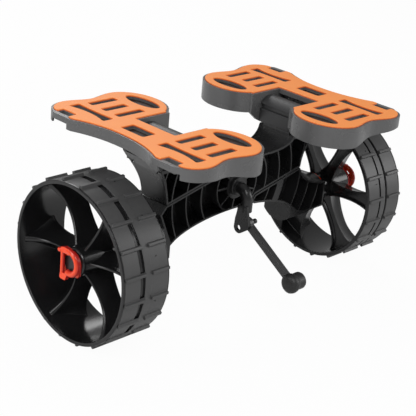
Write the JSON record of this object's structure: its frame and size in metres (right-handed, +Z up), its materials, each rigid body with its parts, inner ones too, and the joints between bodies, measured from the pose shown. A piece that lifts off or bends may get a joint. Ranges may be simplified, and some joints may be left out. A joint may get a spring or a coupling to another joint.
{
  "type": "kayak cart",
  "caption": "Two-wheeled cart that carries a kayak on tilting hull pads, with a crossed moulded frame, clip-held wheels and a folding prop stand.",
  "frame": {"origin": "on the floor under the centre of the footprint, with the wheels standing on z = 0 and the pads level", "axes": "+X along the axle towards the right wheel, +Y away from the prop stand, +Z up"},
  "size_m": [0.6138, 0.3342, 0.3021],
  "materials": {
    "frame_plastic": "moulded near-black nylon with a fine satin grain",
    "hinge_plastic": "moulded dark grey-black nylon, satin",
    "wheel_plastic": "moulded black nylon, satin",
    "tread_rubber": "soft matt black tread",
    "tray_plastic": "moulded dark grey plastic, satin",
    "pad_rubber": "soft matt orange rubber",
    "clip_plastic": "moulded red-orange plastic, satin",
    "foot_rubber": "matt black rubber",
    "steel": "plain stainless steel"
  },
  "bodies": {
    "frame": {"frame_half_front": "frame_plastic", "frame_half_rear": "frame_plastic", "hinge_block_left": "hinge_plastic", "hinge_block_right": "hinge_plastic", "hinge_cap_left": "hinge_plastic", "hinge_cap_right": "hinge_plastic", "hinge_screws_left": "steel", "hinge_screws_right": "steel", "stand_bracket": "frame_plastic", "stand_lock_nut": "frame_plastic"},
    "wheel_left": {"wheel_body_left": "wheel_plastic", "tread_outer_left": "tread_rubber", "tread_inner_left": "tread_rubber", "hub_bush_left": "clip_plastic"},
    "wheel_right": {"wheel_body_right": "wheel_plastic", "tread_outer_right": "tread_rubber", "tread_inner_right": "tread_rubber", "hub_bush_right": "clip_plastic"},
    "clip_left": {"wheel_clip_left": "clip_plastic"},
    "clip_right": {"wheel_clip_right": "clip_plastic"},
    "pad_left": {"pad_tray_left": "tray_plastic", "pad_skin_left": "pad_rubber", "hinge_pin_left": "steel"},
    "pad_right": {"pad_tray_right": "tray_plastic", "pad_skin_right": "pad_rubber", "hinge_pin_right": "steel"},
    "stand": {"stand_leg": "frame_plastic", "stand_foot": "foot_rubber", "stand_pivot_pin": "steel"}
  },
  "joints": [
    {"name": "wheel_left_spin", "type": "hinge", "parent": "frame", "child": "wheel_left", "pos_m": [-0.2625, 0.00557, 0.1244], "axis": [1, 0, 0], "continuous": true},
    {"name": "wheel_right_spin", "type": "hinge", "parent": "frame", "child": "wheel_right", "pos_m": [0.2625, 0.00557, 0.1244], "axis": [1, 0, 0], "continuous": true},
    {"name": "clip_left_slide", "type": "slide", "parent": "frame", "child": "clip_left", "axis": [0, 0, 1], "range_m": [0, 0.04]},
    {"name": "clip_right_slide", "type": "slide", "parent": "frame", "child": "clip_right", "axis": [0, 0, 1], "range_m": [0, 0.04]},
    {"name": "pad_left_tilt", "type": "hinge", "parent": "frame", "child": "pad_left", "pos_m": [-0.15, 0.00557, 0.2639], "axis": [0, 1, 0], "range_deg": [-20, 20]},
    {"name": "pad_right_tilt", "type": "hinge", "parent": "frame", "child": "pad_right", "pos_m": [0.15, 0.00557, 0.2639], "axis": [0, 1, 0], "range_deg": [-20, 20]},
    {"name": "stand_fold", "type": "hinge", "parent": "frame", "child": "stand", "pos_m": [0, -0.05243, 0.1334], "axis": [1, 0, 0], "range_deg": [-69, 59]}
  ]
}
